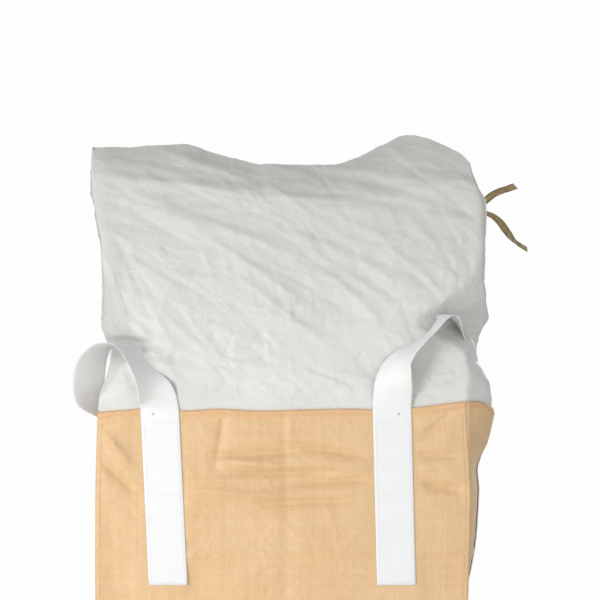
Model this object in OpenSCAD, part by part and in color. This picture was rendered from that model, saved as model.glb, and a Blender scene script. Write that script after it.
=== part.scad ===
// Bulk bag: a square woven bag on a flat base, with a light duffle skirt sewn round its mouth,
// four cross-corner webbing loops and one tie tape. It stands empty, with its mouth open.
// Origin: centre of the underside of the base. +Z up. The front panel faces -Y.

/* [Body] */
// Width and depth of the square base
base_w = 950; // [900:10:1000]
// Height of the body, from the floor to the skirt seam
body_h = 1100; // [1050:10:1200]
// Depth of the empty bag at the skirt seam
seam_depth = 900; // [880:10:920]
// Thickness of the body cloth
body_cloth = 2; // [1.5:0.5:3]

/* [Skirt] */
// Height of the skirt, from the seam to the mouth
skirt_h = 690; // [660:10:720]
// Thickness of the skirt cloth
skirt_cloth = 1.5; // [1:0.5:2]
// Height of the folded hem round the mouth
hem_h = 40; // [30:5:50]
// Height of the lower stretch of skirt, which folds up when the skirt is pushed down
fold_h = 505; // [490:5:510]

/* [Lifting loops] */
// Width of the loop webbing
strap_w = 100; // [80:5:110]
// Thickness of the loop webbing
strap_t = 3; // [2:0.5:4]
// Length of each loop leg that is sewn to the body
sewn_len = 450; // [350:10:550]
// Stretch of the free loop, in degrees of its arch, that bends where the loop swings
bend_deg = 24; // [20:1:28]

/* [Tie tape] */
// Width of the flat tie tape
tape_w = 20; // [15:1:24]
// Height of the tie above the skirt seam
tie_rise = 530; // [520:5:540]

/* [Hidden] */

half_w = base_w / 2;
seam_hd = seam_depth / 2;       // half depth at the skirt seam
mouth_hd = seam_hd - 15;        // half depth just under the mouth
rim_in = 45;                    // how far the rim of the mouth leans inwards
top_z = body_h + skirt_h;
fold_z = body_h + fold_h;
gap = 0.4;                      // clearance between neighbouring cloths
floor_gap = body_cloth + gap;   // walls start just above the base cloth
lean = atan((half_w - seam_hd) / body_h);
body_len = (body_h - floor_gap) / cos(lean);
thread = 1.2;                   // thickness of a row of stitching
face_lay = 0.1;                 // how far thread lies off a flat panel
side_lay = 0.6;                 // how far thread lies off a curved side panel
base_row = 14;                  // height of the row that closes the base
top_row = 14;                   // drop of the row under the skirt seam

cloth_tan = [0.93, 0.79, 0.60];
cloth_tan_dark = [0.80, 0.64, 0.46];
cloth_white = [0.86, 0.87, 0.85];
webbing_white = [0.97, 0.98, 0.98];
thread_white = [0.90, 0.90, 0.88];
tape_olive = [0.62, 0.54, 0.40];

// Loops, in the order front left, front right, back right, back left.
side_x = [-1, 1, 1, -1];
side_y = [-1, -1, 1, 1];
root_in = [162, 190, 176, 176];       // each leg's centre, in from the corner
loop_rise = [172, 245, 212, 192];     // height of the crown above the seam
loop_lean = [31, 15, 30, 26];         // how far the crown stands out from the line of its legs
front_bow = [80, 26, 40, 52];         // how far the leg on the front or back bows outwards
side_bow = [80, 45, 45, 55];          // how far the leg on the side bows outwards
loop_round = [1.0, 0.1, 0.5, 0.7];    // how far the legs bow apart
root_out = 10;                        // how far a loop stands off the body at its root

// ---- the cloth's outline at each height ----
function half_d(z) = lookup(z, [[0, half_w], [body_h, seam_hd], [top_z - 90, mouth_hd],
                                [top_z, mouth_hd - rim_in]]);
// How far the right side stands out (+) or caves in (-), and where across it that is most.
function right_out(z) = lookup(z, [[0, 0], [0.45 * body_h, -45], [0.82 * body_h, 0],
    [body_h, 75], [body_h + 120, 34], [body_h + 240, 52], [top_z - 150, 54], [top_z, -12]]);
function right_peak(z) = lookup(z, [[0.45 * body_h, 0.5], [0.82 * body_h, 0.3], [body_h, 0.11],
    [body_h + 120, 0.14], [body_h + 300, 0.4]]);
function left_out(z) = lookup(z, [[0, 0], [0.5 * body_h, -60], [body_h, -35],
    [body_h + 120, -60], [body_h + 220, 24], [top_z - 150, 16], [top_z, -6]]);
function left_peak(z) = lookup(z, [[body_h, 0.5], [body_h + 220, 0.3]]);
function hump(u, peak) = u < peak ? sin(90 * u / peak)
    : (1 - u) / (1 - peak) * exp((peak - u) / 0.35);
function side_out(s, u, z) = s > 0 ? right_out(z) * hump(u, right_peak(z))
    : left_out(z) * hump(u, left_peak(z));
// The same on the flat facets of a side panel, so that what is sewn to it lies on it.
side_cols = 18;
side_rows = 14;
function mix(a, b, f) = a + (b - a) * f;
function facet_row(s, u, z) = let(j = min(floor(u * side_cols), side_cols - 1))
    mix(side_out(s, j / side_cols, z), side_out(s, (j + 1) / side_cols, z), u * side_cols - j);
function facet_out(s, u, z) = let(h = (body_h - floor_gap) / side_rows,
    i = max(0, min(floor((z - floor_gap) / h), side_rows - 1)))
    mix(facet_row(s, u, floor_gap + i * h), facet_row(s, u, floor_gap + (i + 1) * h),
        (z - floor_gap) / h - i);
function skirt_hw(z) = half_w + lookup(z, [[body_h, 0], [body_h + 300, -13], [top_z, 8]]);

// A point on a side panel: u runs from the front edge to the back edge, off is outwards.
function wall_y(u, z) = (2 * u - 1) * (half_d(z) - body_cloth - gap);
function wall_pt(s, u, z, off) = [s * (half_w + facet_out(s, u, z) + off), wall_y(u, z), z];

// ---- loop geometry: local axes a (from the front leg to the side leg) and n (outwards) ----
function leg_u(c) = side_y[c] < 0 ? root_in[c] / seam_depth : 1 - root_in[c] / seam_depth;
function root_face(c) = [side_x[c] * (half_w - root_in[c]), side_y[c] * seam_hd];
function root_side(c) = [side_x[c] * (half_w + side_out(side_x[c], leg_u(c), body_h)),
                         side_y[c] * (seam_hd - root_in[c])];
function loop_span(c) = norm(root_side(c) - root_face(c)) / 2;
function loop_mid(c) = (root_side(c) + root_face(c)) / 2;
function loop_a(c) = (root_side(c) - root_face(c)) / (2 * loop_span(c));
function loop_n(c) = [side_x[c] * abs(loop_a(c)[1]), side_y[c] * abs(loop_a(c)[0])];
function arch_t(c, p) = -loop_span(c) * cos(p) * (1 + loop_round[c] * pow(sin(p), 2));
function arch_d(c, p) = root_out + loop_lean[c] * pow(sin(p), 2)
    + (p < 90 ? front_bow[c] : side_bow[c]) * pow(sin(2 * p), 2);
function arch_pt(c, p) = let(q = loop_mid(c) + loop_a(c) * arch_t(c, p) + loop_n(c) * arch_d(c, p))
    [q[0], q[1], body_h + loop_rise[c] * sin(p)];
function unit(v) = v / norm(v);
// Across the webbing: it turns about a quarter, from along the front to along the side.
function side_slope(c) = side_x[c] * (side_out(side_x[c], leg_u(c) + 0.02, body_h)
    - side_out(side_x[c], leg_u(c) - 0.02, body_h)) / (0.04 * seam_depth);
function turn(p) = 90 * pow(p / 180, 2) * (3 - p / 90);
function arch_w(c, p) = let(t = unit(arch_pt(c, p + 1) - arch_pt(c, p - 1)),
    w = [side_x[c] * cos(turn(p)) + side_y[c] * sin(turn(p)) * side_slope(c),
         side_y[c] * sin(turn(p)), 0]) unit(w - t * (w * t));
function arch_nrm(c, p) = unit(cross(arch_pt(c, p + 1) - arch_pt(c, p - 1), arch_w(c, p)));

// ---- skirt outline: each corner is held in behind the crown of its loop ----
corner_free = 140;              // no pinch: further out than any corner reaches
pinch_in = 34;                  // how far the pinched corner passes inside the line of the legs
function pinch(c, z) = lookup(z, [[body_h + 2, corner_free],
    [body_h + loop_rise[c] - 60, -pinch_in], [body_h + loop_rise[c] + 45, -pinch_in],
    [body_h + loop_rise[c] + 70, -pinch_in + 12], [body_h + loop_rise[c] + 230, corner_free]]);
function held_in(p, c, z) = let(over = (p - loop_mid(c)) * loop_n(c) - pinch(c, z))
    over > 0 ? p - loop_n(c) * over : p;
function nearest(p) = p[1] < 0 ? (p[0] < 0 ? 0 : 1) : (p[0] > 0 ? 2 : 3);
// k runs once round, from 0 to 4: front, right, back, left.
function skirt_raw(k, z) = let(f = floor(k), u = k - f, w = skirt_hw(z), d = half_d(z))
    f == 0 ? [-w + 2 * w * u, -d]
    : f == 1 ? [w + side_out(1, u, z), -d + 2 * d * u]
    : f == 2 ? [w - 2 * w * u, d]
    : [-w - side_out(-1, 1 - u, z), d - 2 * d * u];
function skirt_pt(k, z, off) = let(r = skirt_raw(k, z), p = held_in(r, nearest(r), z))
    concat(p * (1 + off / norm(p)), [z]);

// ---- solids ----
function quads(rows, cols, flip, start) = [for (i = [0 : rows - 1], j = [0 : cols - 1])
    let(a = start + i * (cols + 1) + j, b = a + 1, c = a + cols + 1, d = c + 1)
    each (flip ? [[a, b, d], [a, d, c]] : [[a, d, b], [a, c, d]])];
// A thin solid between two grids of points, outer[i][j] and inner[i][j].
module between(outer, inner, rows, cols) {
    n = (rows + 1) * (cols + 1);
    rim = concat([for (j = [0 : cols]) j],
                 [for (i = [1 : rows]) i * (cols + 1) + cols],
                 [for (j = [cols - 1 : -1 : 0]) rows * (cols + 1) + j],
                 [for (i = [rows - 1 : -1 : 1]) i * (cols + 1)]);
    m = len(rim);
    walls = [for (i = [0 : m - 1]) let(p = rim[i], q = rim[(i + 1) % m])
        each [[p, q, q + n], [p, q + n, p + n]]];
    polyhedron(concat([for (r = outer) each r], [for (r = inner) each r]),
               concat(quads(rows, cols, false, 0), quads(rows, cols, true, n), walls));
}
// A patch of cloth or webbing on side s (+1 right, -1 left), lying from off to off + t.
module on_side(s, u0, u1, z0, z1, off, t, cols, rows) {
    us = [for (j = [0 : cols]) u0 + (u1 - u0) * j / cols];
    zs = [for (i = [0 : rows]) z0 + (z1 - z0) * i / rows];
    far = [for (z = zs) [for (u = us) wall_pt(s, u, z, off + t)]];
    near = [for (z = zs) [for (u = us) wall_pt(s, u, z, off)]];
    if (s > 0) between(far, near, rows, cols);
    else between(near, far, rows, cols);
}
// Children drawn on the front panel: x across it, y into the bag, z up along the cloth.
module on_front() translate([0, -half_w, floor_gap]) rotate([-lean, 0, 0]) children();
module on_face(c) rotate([0, 0, side_y[c] < 0 ? 0 : 180]) on_front() children();
function face_x(c) = -side_x[c] * side_y[c] * (half_w - root_in[c]);
// A strip of webbing along arch c from p0 to p1 degrees.
module webbing(c, p0, p1, steps) {
    ps = [for (i = [0 : steps]) p0 + (p1 - p0) * i / steps];
    rings = [for (p = ps) let(o = arch_pt(c, p), w = arch_w(c, p) * strap_w / 2,
        n = arch_nrm(c, p) * strap_t / 2) [o - w - n, o + w - n, o + w + n, o - w + n]];
    // Both faces of the webbing are split along the same diagonal, so it keeps its thickness.
    faces = [for (i = [0 : steps - 1], j = [0 : 3]) let(a = i * 4 + j, b = i * 4 + (j + 1) % 4)
        each (j < 2 ? [[a, b + 4, b], [a, a + 4, b + 4]] : [[a, a + 4, b], [b, a + 4, b + 4]])];
    polyhedron([for (r = rings) each r],
               concat([[0, 1, 2], [0, 2, 3]], faces,
                      [[steps * 4, steps * 4 + 2, steps * 4 + 1],
                       [steps * 4, steps * 4 + 3, steps * 4 + 2]]));
}
// A closed tube of skirt cloth between two heights, with t of cloth standing outwards of off.
module skirt_tube(zs, off, t, per_side) {
    n = 4 * per_side;
    rows = len(zs) - 1;
    ks = [for (i = [0 : n - 1]) i / per_side];
    outer = [for (z = zs) each [for (k = ks) skirt_pt(k, z, off + t)]];
    inner = [for (z = zs) each [for (k = ks) skirt_pt(k, z, off)]];
    m = n * (rows + 1);
    sides = [for (i = [0 : rows - 1], j = [0 : n - 1])
        let(a = i * n + j, b = i * n + (j + 1) % n)
        each [[a, b + n, b], [a, a + n, b + n],
              [m + a, m + b, m + b + n], [m + a, m + b + n, m + a + n]]];
    ends = [for (j = [0 : n - 1]) let(b = (j + 1) % n, top = rows * n)
        each [[j, b, m + b], [j, m + b, m + j],
              [top + j, m + top + b, top + b], [top + j, m + top + j, m + top + b]]];
    polyhedron(concat(outer, inner), concat(sides, ends));
}

// ---- body ----
module bottom_panel() color(cloth_tan)
    translate([-half_w, -half_w, 0]) cube([base_w, base_w, body_cloth]);
module front_panel() color(cloth_tan)
    on_front() translate([-half_w, 0, 0]) cube([base_w, body_cloth, body_len]);
module back_panel() color(cloth_tan) rotate([0, 0, 180])
    on_front() translate([-half_w, 0, 0]) cube([base_w, body_cloth, body_len]);
module left_side_panel() color(cloth_tan_dark)
    on_side(-1, 0, 1, floor_gap, body_h, -body_cloth, body_cloth, side_cols, side_rows);
module right_side_panel() color(cloth_tan_dark)
    on_side(1, 0, 1, floor_gap, body_h, -body_cloth, body_cloth, side_cols, side_rows);
// Rows of thread that close the base, the corners and the mouth of the body.
module bottom_seam() color(thread_white) {
    for (c = [0, 2]) on_face(c) translate([-half_w + base_row, -thread - face_lay, base_row - floor_gap])
        cube([base_w - 2 * base_row, thread, thread]);
    for (s = [-1, 1]) on_side(s, 1 / side_cols, 1 - 1 / side_cols, base_row, base_row + thread,
                              side_lay, thread, side_cols - 2, 1);
}
corner_row = 10;                // each corner's row, in from the corner
row_end = 30;                   // the corner rows stop short of the base and the skirt seam
module corner_rows(c) color(thread_white) for (s = [-1, 1]) on_face(c)
    translate([s * (half_w - corner_row), -thread - face_lay, row_end])
    cube([thread, thread, body_len - 2 * row_end]);
module front_corner_seams() corner_rows(0);
module back_corner_seams() corner_rows(2);
row_clear = 6;                  // the row under the skirt stops this far from a loop leg
module skirt_seam() color(thread_white) {
    for (c = [0, 2]) on_face(c) {
        from_left = root_in[c] + strap_w / 2 + row_clear;
        from_right = root_in[c + 1] + strap_w / 2 + row_clear;
        translate([-half_w + from_left, -thread - face_lay, body_len - top_row])
            cube([base_w - from_left - from_right, thread, thread]);
    }
    // On the sides it shows across the middle third, between the loop legs.
    for (s = [-1, 1]) on_side(s, 1 / 3, 2 / 3, body_h - top_row, body_h - top_row + thread,
                              side_lay, thread, side_cols / 3, 1);
}

// ---- skirt ----
module skirt_lower() color(cloth_white)
    skirt_tube([for (i = [0 : 12]) body_h + gap + (fold_h - 2 * gap) * i / 12],
               -skirt_cloth, skirt_cloth, 16);
module skirt_upper() color(cloth_white)
    skirt_tube([fold_z, fold_z + 50, top_z - 120, top_z - 90, top_z - hem_h - gap],
               -skirt_cloth, skirt_cloth, 12);
module mouth_hem() color(cloth_white)
    skirt_tube([top_z - hem_h, top_z - hem_h / 2, top_z], -2 * skirt_cloth, 2 * skirt_cloth, 12);

// ---- lifting loops ----
side_strap_off = gap + 1;       // webbing lies this far off a curved side panel
module loop_legs(c) color(webbing_white) {
    on_face(c) translate([face_x(c) - strap_w / 2,
                          -strap_t - gap, body_len - sewn_len])
        cube([strap_w, strap_t, sewn_len - 1]);
    on_side(side_x[c], leg_u(c) - strap_w / 2 / seam_depth, leg_u(c) + strap_w / 2 / seam_depth,
            body_h - sewn_len, body_h - 1, side_strap_off, strap_t, 10, 12);
}
bend_gap = 0.2;                 // degrees of arch left between a bend and the free loop
module loop_bends(c) color(webbing_white) {
    webbing(c, 1, bend_deg - bend_gap, 5);
    webbing(c, 180 - bend_deg + bend_gap, 179, 5);
}
module loop_arch(c) color(webbing_white) webbing(c, bend_deg, 180 - bend_deg, 20);
stitch_row = strap_w - 16;
stitch_rows = [30, 126, 222, 318, 414];   // below the skirt seam
module loop_stitching(c) color(thread_white) for (drop = stitch_rows) {
    on_face(c) translate([face_x(c) - stitch_row / 2,
                          -strap_t - thread - gap - 2 * face_lay, body_len - drop])
        cube([stitch_row, thread, thread]);
    on_side(side_x[c], leg_u(c) - stitch_row / 2 / seam_depth,
            leg_u(c) + stitch_row / 2 / seam_depth,
            body_h - drop, body_h - drop + thread, side_strap_off + strap_t + 2 * gap, thread, 10, 1);
}
module front_left_loop_legs() loop_legs(0);
module front_left_loop_bends() loop_bends(0);
module front_left_loop_arch() loop_arch(0);
module front_left_loop_stitching() loop_stitching(0);
module front_right_loop_legs() loop_legs(1);
module front_right_loop_bends() loop_bends(1);
module front_right_loop_arch() loop_arch(1);
module front_right_loop_stitching() loop_stitching(1);
module back_right_loop_legs() loop_legs(2);
module back_right_loop_bends() loop_bends(2);
module back_right_loop_arch() loop_arch(2);
module back_right_loop_stitching() loop_stitching(2);
module back_left_loop_legs() loop_legs(3);
module back_left_loop_bends() loop_bends(3);
module back_left_loop_arch() loop_arch(3);
module back_left_loop_stitching() loop_stitching(3);

// ---- tie tape: one length sewn to the skirt at its middle, with two free tails ----
tie_u = 0.3;                    // how far across the right side it is sewn
tie_z = body_h + tie_rise;
tack_h = 30;
function tie_x(z) = skirt_hw(z) + side_out(1, tie_u, z);
tie_y = -half_d(tie_z) * (1 - 2 * tie_u);
tape_t = 3;
module tie_bartack() color(tape_olive)
    translate([tie_x(tie_z) + 2, tie_y - tape_w / 2, tie_z - tack_h / 2])
    cube([tape_t, tape_w, tack_h]);
// Centre lines of the tails, outwards (x), across (y) and up (z) from the tack.
upper_tail = [[14, -4, 11], [24, -12, 22], [34, -22, 31], [44, -33, 37], [54, -45, 41],
              [64, -57, 45], [74, -69, 48], [84, -81, 52], [94, -93, 55]];
lower_tail = [[14, 4, -11], [28, 2, -15], [41, -2, -21], [52, -8, -30], [63, -16, -43],
              [74, -25, -60], [86, -35, -77], [100, -46, -92], [116, -57, -104], [128, -66, -112]];
function tail_pt(route, i) = [tie_x(tie_z), tie_y, tie_z] + route[i];
module tail(route) {
    n = len(route);
    sides = 8;
    rings = [for (i = [0 : n - 1])
        let(o = tail_pt(route, i),
            t = unit(route[min(i + 1, n - 1)] - route[max(i - 1, 0)]),
            w = unit([-t[1], t[0], 0] + [0, 0.001, 0]), v = cross(t, w))
        [for (j = [0 : sides - 1]) let(q = 360 * j / sides)
            o + (w * cos(q) + v * sin(q)) * tape_w / 2]];
    skin = [for (i = [0 : n - 2], j = [0 : sides - 1])
        let(a = i * sides + j, b = i * sides + (j + 1) % sides)
        each [[a, b, b + sides], [a, b + sides, a + sides]]];
    last = (n - 1) * sides;
    ends = [for (j = [1 : sides - 2]) each [[0, j + 1, j], [last, last + j, last + j + 1]]];
    polyhedron([for (r = rings) each r], concat(skin, ends));
}
module upper_tie_tail() color(tape_olive) tail(upper_tail);
module lower_tie_tail() color(tape_olive) tail(lower_tail);

bottom_panel();
front_panel();
back_panel();
left_side_panel();
right_side_panel();
bottom_seam();
front_corner_seams();
back_corner_seams();
skirt_seam();
skirt_lower();
skirt_upper();
mouth_hem();
front_left_loop_legs();
front_left_loop_bends();
front_left_loop_arch();
front_left_loop_stitching();
front_right_loop_legs();
front_right_loop_bends();
front_right_loop_arch();
front_right_loop_stitching();
back_right_loop_legs();
back_right_loop_bends();
back_right_loop_arch();
back_right_loop_stitching();
back_left_loop_legs();
back_left_loop_bends();
back_left_loop_arch();
back_left_loop_stitching();
tie_bartack();
upper_tie_tail();
lower_tie_tail();
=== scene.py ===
"""Looks for the bulk bag: crumpled woven cloth, webbing loops, stitching and a tie tape.

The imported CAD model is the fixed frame. Metres, +Z up, the front panel faces -Y.
The bag is one closed outline that changes with height. Each panel is a fine grid on that outline,
creased along its outward normal.
"""
import math

import bpy
import numpy as np
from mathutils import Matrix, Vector, noise


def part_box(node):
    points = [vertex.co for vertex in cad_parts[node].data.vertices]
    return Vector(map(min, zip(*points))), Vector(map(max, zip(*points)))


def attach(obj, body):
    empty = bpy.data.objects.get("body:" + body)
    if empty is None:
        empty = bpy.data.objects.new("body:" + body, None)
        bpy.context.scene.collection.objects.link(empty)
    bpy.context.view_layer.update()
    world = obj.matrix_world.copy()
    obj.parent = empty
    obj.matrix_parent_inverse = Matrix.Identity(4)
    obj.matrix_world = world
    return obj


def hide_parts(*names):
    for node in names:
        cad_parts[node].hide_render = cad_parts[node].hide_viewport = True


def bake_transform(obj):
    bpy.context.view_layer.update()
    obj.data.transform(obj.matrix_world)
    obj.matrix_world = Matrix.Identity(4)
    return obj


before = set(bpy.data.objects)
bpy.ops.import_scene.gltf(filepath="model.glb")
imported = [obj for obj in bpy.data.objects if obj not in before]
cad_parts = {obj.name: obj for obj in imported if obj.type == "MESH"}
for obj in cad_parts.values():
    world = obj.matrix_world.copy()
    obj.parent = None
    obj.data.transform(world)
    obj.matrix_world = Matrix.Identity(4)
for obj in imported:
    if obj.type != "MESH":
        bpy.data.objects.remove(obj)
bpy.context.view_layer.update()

# ---- sizes: the bag's come from the frame ----
HALF_W = round(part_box("bottom_panel")[1].x, 4)
BODY_H = round(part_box("front_panel")[1].z, 3)
TOP_Z = round(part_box("mouth_hem")[1].z, 3)
PANEL_W = 2 * HALF_W
SKIRT_H = TOP_Z - BODY_H
SEAM_HD = 0.45            # half depth at the skirt seam
MOUTH_HD = 0.435          # half depth near the mouth
FOOT_Z = 0.003            # height of the panels' lower edge
HEM_H = 0.020             # height of the folded edge at the top of the body
TUCK = 0.012              # how far the skirt reaches down behind that edge
BODY_T, SKIRT_T = 0.0012, 0.0009
BODY_TAPE, SKIRT_TAPE = 0.0026, 0.0021    # width of one woven tape
SEWN = 0.45               # length of each sewn leg of a loop
STRAP_W, STRAP_T = 0.1, 0.0026
TAPE_W = 0.020
SIDES = ("front", "right", "back", "left")
SEED = 7

# ---- loops: front left, front right, back right, back left ----
LOOPS = ("front_left", "front_right", "back_right", "back_left")
SIDE_X = np.array([-1, 1, 1, -1])
SIDE_Y = np.array([-1, -1, 1, 1])
ROOT_IN = np.array([0.162, 0.190, 0.176, 0.176])    # from each corner to the middle of the webbing
SLANT = (0.35, 0.50, 0.2, 0.2)    # how far the webbing is skewed at each crown
LEG_LEAN = (0.049, 0.024, 0.02, -0.015)    # sideways, for each metre down a front or back leg


# ---- small maths ----
def curve(at, points):
    """A smooth curve through (place, value) points that never overshoots them."""
    xs, ys = np.array(points, float).T
    step = np.diff(xs)
    rate = np.diff(ys) / step
    slope = np.zeros_like(ys)
    slope[0], slope[-1] = rate[0], rate[-1]
    before, after = rate[:-1], rate[1:]
    same = before * after > 0
    slope[1:-1][same] = 2 * before[same] * after[same] / (before[same] + after[same])
    at = np.asarray(at, float)
    i = np.clip(np.searchsorted(xs, at) - 1, 0, len(xs) - 2)
    t = np.clip((at - xs[i]) / step[i], 0, 1)
    return between(t, step[i], ys[i], ys[i + 1], slope[i], slope[i + 1])


def soft_curve(at, xs, rows):
    """A Catmull-Rom curve through rows of values at uneven places."""
    slope = np.gradient(rows, xs, axis=0)
    i = np.clip(np.searchsorted(xs, at, side="right") - 1, 0, len(xs) - 2)
    step = (xs[i + 1] - xs[i])[:, None]
    return between((at - xs[i])[:, None] / step, step, rows[i], rows[i + 1], slope[i], slope[i + 1])


def between(t, step, low, high, slope_low, slope_high):
    """The cubic that leaves one point and meets the next at given slopes."""
    near = low * (1 + 2 * t) * (1 - t) ** 2 + slope_low * step * t * (1 - t) ** 2
    return near + high * t * t * (3 - 2 * t) + slope_high * step * t * t * (t - 1)


def smooth(t):
    t = np.clip(t, 0, 1)
    return t * t * (3 - 2 * t)


def unit(v):
    return v / np.maximum(np.linalg.norm(v, axis=-1, keepdims=True), 1e-9)


# ---- the outline of the bag: every table is (height above the skirt seam, value) ----
HALF_DEPTH = ((-BODY_H, HALF_W), (0, SEAM_HD), (SKIRT_H - 0.09, MOUTH_HD), (SKIRT_H, MOUTH_HD - 0.01))
# How far the right side stands out, where along it that is most, and how slowly it falls back behind.
RIGHT_OUT = ((-BODY_H, 0), (-0.704, -0.040), (-0.33, 0.030), (-0.22, 0.030), (-0.165, 0.026),
             (-0.1265, 0.038), (-0.088, 0.060), (-0.015, 0.079), (0, 0.076), (0.045, 0.062),
             (0.115, 0.040), (0.19, 0.030), (0.22, 0.022), (0.26, 0.012), (0.32, 0.004), (SKIRT_H, 0.004))
RIGHT_PEAK = ((-0.605, 0.5), (-0.198, 0.2), (0, 0.11), (0.19, 0.085), (0.25, 0.22))
RIGHT_TAIL = ((0, 0.35), (0.10, 0.09), (0.20, 0.09), (0.26, 0.5))
LEFT_OUT = ((-BODY_H, 0), (-0.55, -0.06), (0, -0.035), (0.09, -0.055), (0.14, -0.030), (0.175, 0.008),
            (0.22, 0.016), (SKIRT_H - 0.15, 0.010), (SKIRT_H, -0.006))
LEFT_PEAK = ((0, 0.5), (0.22, 0.3))
LEFT_TAIL = 0.35
# The side leg of the front right loop presses the skirt in, and past its far edge the skirt falls out.
FAR_EDGE = ((0.05, 0.255), (0.132, 0.225), (0.176, 0.190), (0.20, 0.158), (0.24, 0.122), (0.28, 0.06),
            (0.32, 0))
LEG_DENT = ((0, 0), (0.05, 0.012), (0.12, 0.026), (0.19, 0.026), (0.24, 0))
DENT_REACH = 0.055
SIDE_BULGE = ((0.08, 0), (0.12, 0.036), (0.15, 0.056), (0.20, 0.062), (0.24, 0.046), (0.28, 0.022),
              (0.33, 0))
# How much wider than the base the bag is on each side of its middle.
LEFT_EXTRA = ((-BODY_H, 0), (-0.55, 0.003), (-0.264, 0.004), (0, -0.002), (0.20, -0.012), (0.42, -0.012),
              (0.48, -0.002), (0.54, 0.009), (SKIRT_H - 0.06, 0.0165), (SKIRT_H, 0.012))
RIGHT_EXTRA = ((-BODY_H, 0), (-0.55, 0.004), (-0.22, 0.013), (0, 0.002), (0.06, 0.010), (0.14, 0.0),
               (0.20, 0.002), (0.26, 0.030), (0.32, 0.046), (SKIRT_H - 0.15, 0.052),
               (SKIRT_H - 0.11, 0.038), (SKIRT_H - 0.06, 0.023), (SKIRT_H, 0.014))


def by_height(z, table):
    return curve(z - BODY_H, table)


def half_d(z):
    return by_height(z, HALF_DEPTH)


def half_w(side, z):
    return HALF_W + by_height(z, RIGHT_EXTRA if side > 0 else LEFT_EXTRA)


def hump(u, peak, tail):
    """Rises from 0 at the front to 1 at the peak and falls back to 0, faster where tail is small."""
    rise = np.sin(np.pi / 2 * np.clip(u / peak, 0, 1))
    past = np.maximum(u - peak, 0)
    fall = (1 - u) / (1 - peak) / (1 + (past / tail) ** 2 + past / tail)
    return np.where(u < peak, rise, fall)


def side_out(side, u, z):
    """How far the right (1) or left (-1) side stands out; u runs from the front to the back."""
    if side < 0:
        return by_height(z, LEFT_OUT) * hump(u, by_height(z, LEFT_PEAK), LEFT_TAIL)
    out = by_height(z, RIGHT_OUT) * hump(u, by_height(z, RIGHT_PEAK), by_height(z, RIGHT_TAIL))
    edge = by_height(z, FAR_EDGE)
    past = np.maximum(u - edge, 0)
    dent = by_height(z, LEG_DENT) * np.exp(-((u - edge + DENT_REACH) / DENT_REACH) ** 2)
    bulge = by_height(z, SIDE_BULGE) * smooth(past / 0.06) * (1 - u) / (1 + (past / 0.35) ** 2)
    return out - dent + bulge


def outline(side, u, z):
    """x and y of the bag's outline: side 0 front, 1 right, 2 back, 3 left; u runs along each side."""
    left, right, d = half_w(-1, z), half_w(1, z), half_d(z)
    across = [-left + (left + right) * u, right + side_out(1, u, z), right - (left + right) * u,
              -left - side_out(-1, 1 - u, z)]
    along = [-d + 0 * u, -d + 2 * d * u, d + 0 * u, d - 2 * d * u]
    return np.stack([across[side], along[side]], -1)


# ---- loop geometry ----
def loop_frame(c):
    """Where the two legs of a loop meet the seam, the middle between them and the way out from it."""
    leg_u = ROOT_IN[c] / (2 * SEAM_HD)
    u = leg_u if SIDE_Y[c] < 0 else 1 - leg_u
    face = np.array([SIDE_X[c] * (HALF_W - ROOT_IN[c]), SIDE_Y[c] * SEAM_HD])
    side = np.array([SIDE_X[c] * (HALF_W + float(side_out(SIDE_X[c], u, BODY_H))),
                     SIDE_Y[c] * (SEAM_HD - ROOT_IN[c])])
    out = np.array([SIDE_X[c], SIDE_Y[c]]) * np.abs(unit(side - face)[::-1])
    return {"mid": (face + side) / 2, "out": out, "face": face, "side": side}


def face_side(c):
    """Which side of the bag the front or back leg of a loop is on."""
    return 0 if SIDE_Y[c] < 0 else 2


def flank_side(c):
    """Which side of the bag the side leg of a loop is on."""
    return 1 if SIDE_X[c] > 0 else 3


LOOP_AT = [loop_frame(c) for c in range(4)]

# Each free loop, from its front or back leg to its side leg. Every stop is x, y, z in mm and how far
# the webbing has turned, in degrees: 0 lies along the front panel and 90 along the side panel.
# x and y grow outwards from the centre of the bag, z up from the skirt seam.
LOOP_STOPS = (
    ((313, 455, 0, 0), (317, 468, 26, 14), (329, 486, 54, 36), (350, 496, 95, 50), (369, 494, 126, 52),
     (386, 480, 152, 50), (406, 456, 168, 49), (434, 424, 172, 48), (463, 392, 164, 46),
     (487, 364, 138, 39), (503, 340, 96, 36), (507, 322, 56, 40), (503, 305, 10, 55),
     (490, 291, -40, 78)),
    ((285, 455, 0, 0), (286, 464, 30, 6), (288, 476, 62, 18), (295, 487, 98, 38),
     (309, 494, 128, 48), (330, 499, 152, 54), (356, 499, 176, 59), (384, 492, 202, 65),
     (407, 476, 229, 72), (424, 455, 243, 80), (442, 424, 236, 86), (461, 384, 212, 90),
     (479, 344, 176, 90), (496, 304, 132, 90), (514, 282, 84, 90), (534, 268, 38, 90),
     (545, 260, 0, 90)),
    ((299, 455, 0, 0), (300, 466, 34, 4), (308, 486, 84, 16), (326, 490, 136, 30), (364, 470, 186, 44),
     (416, 424, 212, 50), (460, 366, 196, 64), (488, 316, 150, 78), (502, 290, 96, 86),
     (516, 276, 40, 90), (500, 274, 0, 90)),
    ((299, 455, 0, 0), (302, 468, 32, 6), (312, 488, 76, 20), (332, 492, 122, 34), (368, 472, 166, 44),
     (416, 422, 192, 48), (456, 366, 178, 60), (482, 318, 140, 76), (494, 292, 92, 86),
     (484, 278, 40, 90), (462, 274, 0, 90)),
)


def route(c, count):
    """Evenly spaced centres of a free loop and how far it has turned, in radians, at each."""
    stops = np.array(LOOP_STOPS[c], float)
    run = run_along(stops[:, :3])
    x, y, z, turn = soft_curve(np.linspace(0, run[-1], count), run, stops).T
    centre = np.column_stack([SIDE_X[c] * x / 1000, SIDE_Y[c] * y / 1000, BODY_H + z / 1000])
    return centre, np.radians(turn)


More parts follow.
